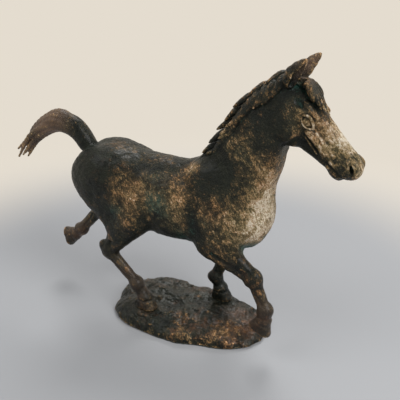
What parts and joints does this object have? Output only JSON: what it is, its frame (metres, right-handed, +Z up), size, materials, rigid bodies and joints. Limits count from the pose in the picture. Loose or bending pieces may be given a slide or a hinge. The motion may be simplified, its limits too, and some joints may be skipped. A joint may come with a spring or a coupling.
{
  "type": "bronze horse statue",
  "caption": "Cantering horse statuette in dark patinated cast bronze, hollow, made in pinned sections and standing on a low rock base with a felt underside.",
  "frame": {"origin": "centre of the felt underside of the base, on the surface that the statue stands on", "axes": "+X the way the horse faces, +Y the horse's left side, +Z up"},
  "size_m": [0.3193, 0.0818, 0.2557],
  "materials": {
    "bronze_body": "dark green-black patinated cast bronze, rubbed to gold-brown on the high places, waxed",
    "rubbed_bronze": "brown patinated bronze, smoother and more rubbed than the body",
    "base_bronze": "brown-black patinated cast bronze with a rough rock surface",
    "raw_bronze": "plain unpatinated bronze, hidden inside",
    "steel_fasteners": "plain zinc-plated steel, hidden inside",
    "felt": "dark green wool felt"
  },
  "bodies": {
    "root": {"base": "base_bronze", "belly_plug": "bronze_body", "crest_pin_left": "raw_bronze", "crest_pin_right": "raw_bronze", "crest_sleeve": "raw_bronze", "felt_pad": "felt", "fore_nut": "steel_fasteners", "fore_stud": "steel_fasteners", "fore_washer": "steel_fasteners", "forelock": "rubbed_bronze", "forequarters": "bronze_body", "head": "bronze_body", "hind_nut": "steel_fasteners", "hind_stud": "steel_fasteners", "hind_washer": "steel_fasteners", "hindquarters": "bronze_body", "left_ear": "rubbed_bronze", "left_foreleg": "bronze_body", "left_foreleg_pin": "raw_bronze", "left_hindleg": "bronze_body", "left_hindleg_pin": "raw_bronze", "neck": "bronze_body", "neck_pin_left": "raw_bronze", "neck_pin_right": "raw_bronze", "neck_sleeve": "raw_bronze", "right_ear": "rubbed_bronze", "right_foreleg": "bronze_body", "right_foreleg_pin": "raw_bronze", "right_hindleg": "bronze_body", "right_hindleg_pin": "raw_bronze", "tail": "rubbed_bronze", "tail_pin": "raw_bronze", "waist_pin_left": "raw_bronze", "waist_pin_right": "raw_bronze", "waist_sleeve": "raw_bronze"}
  },
  "joints": []
}
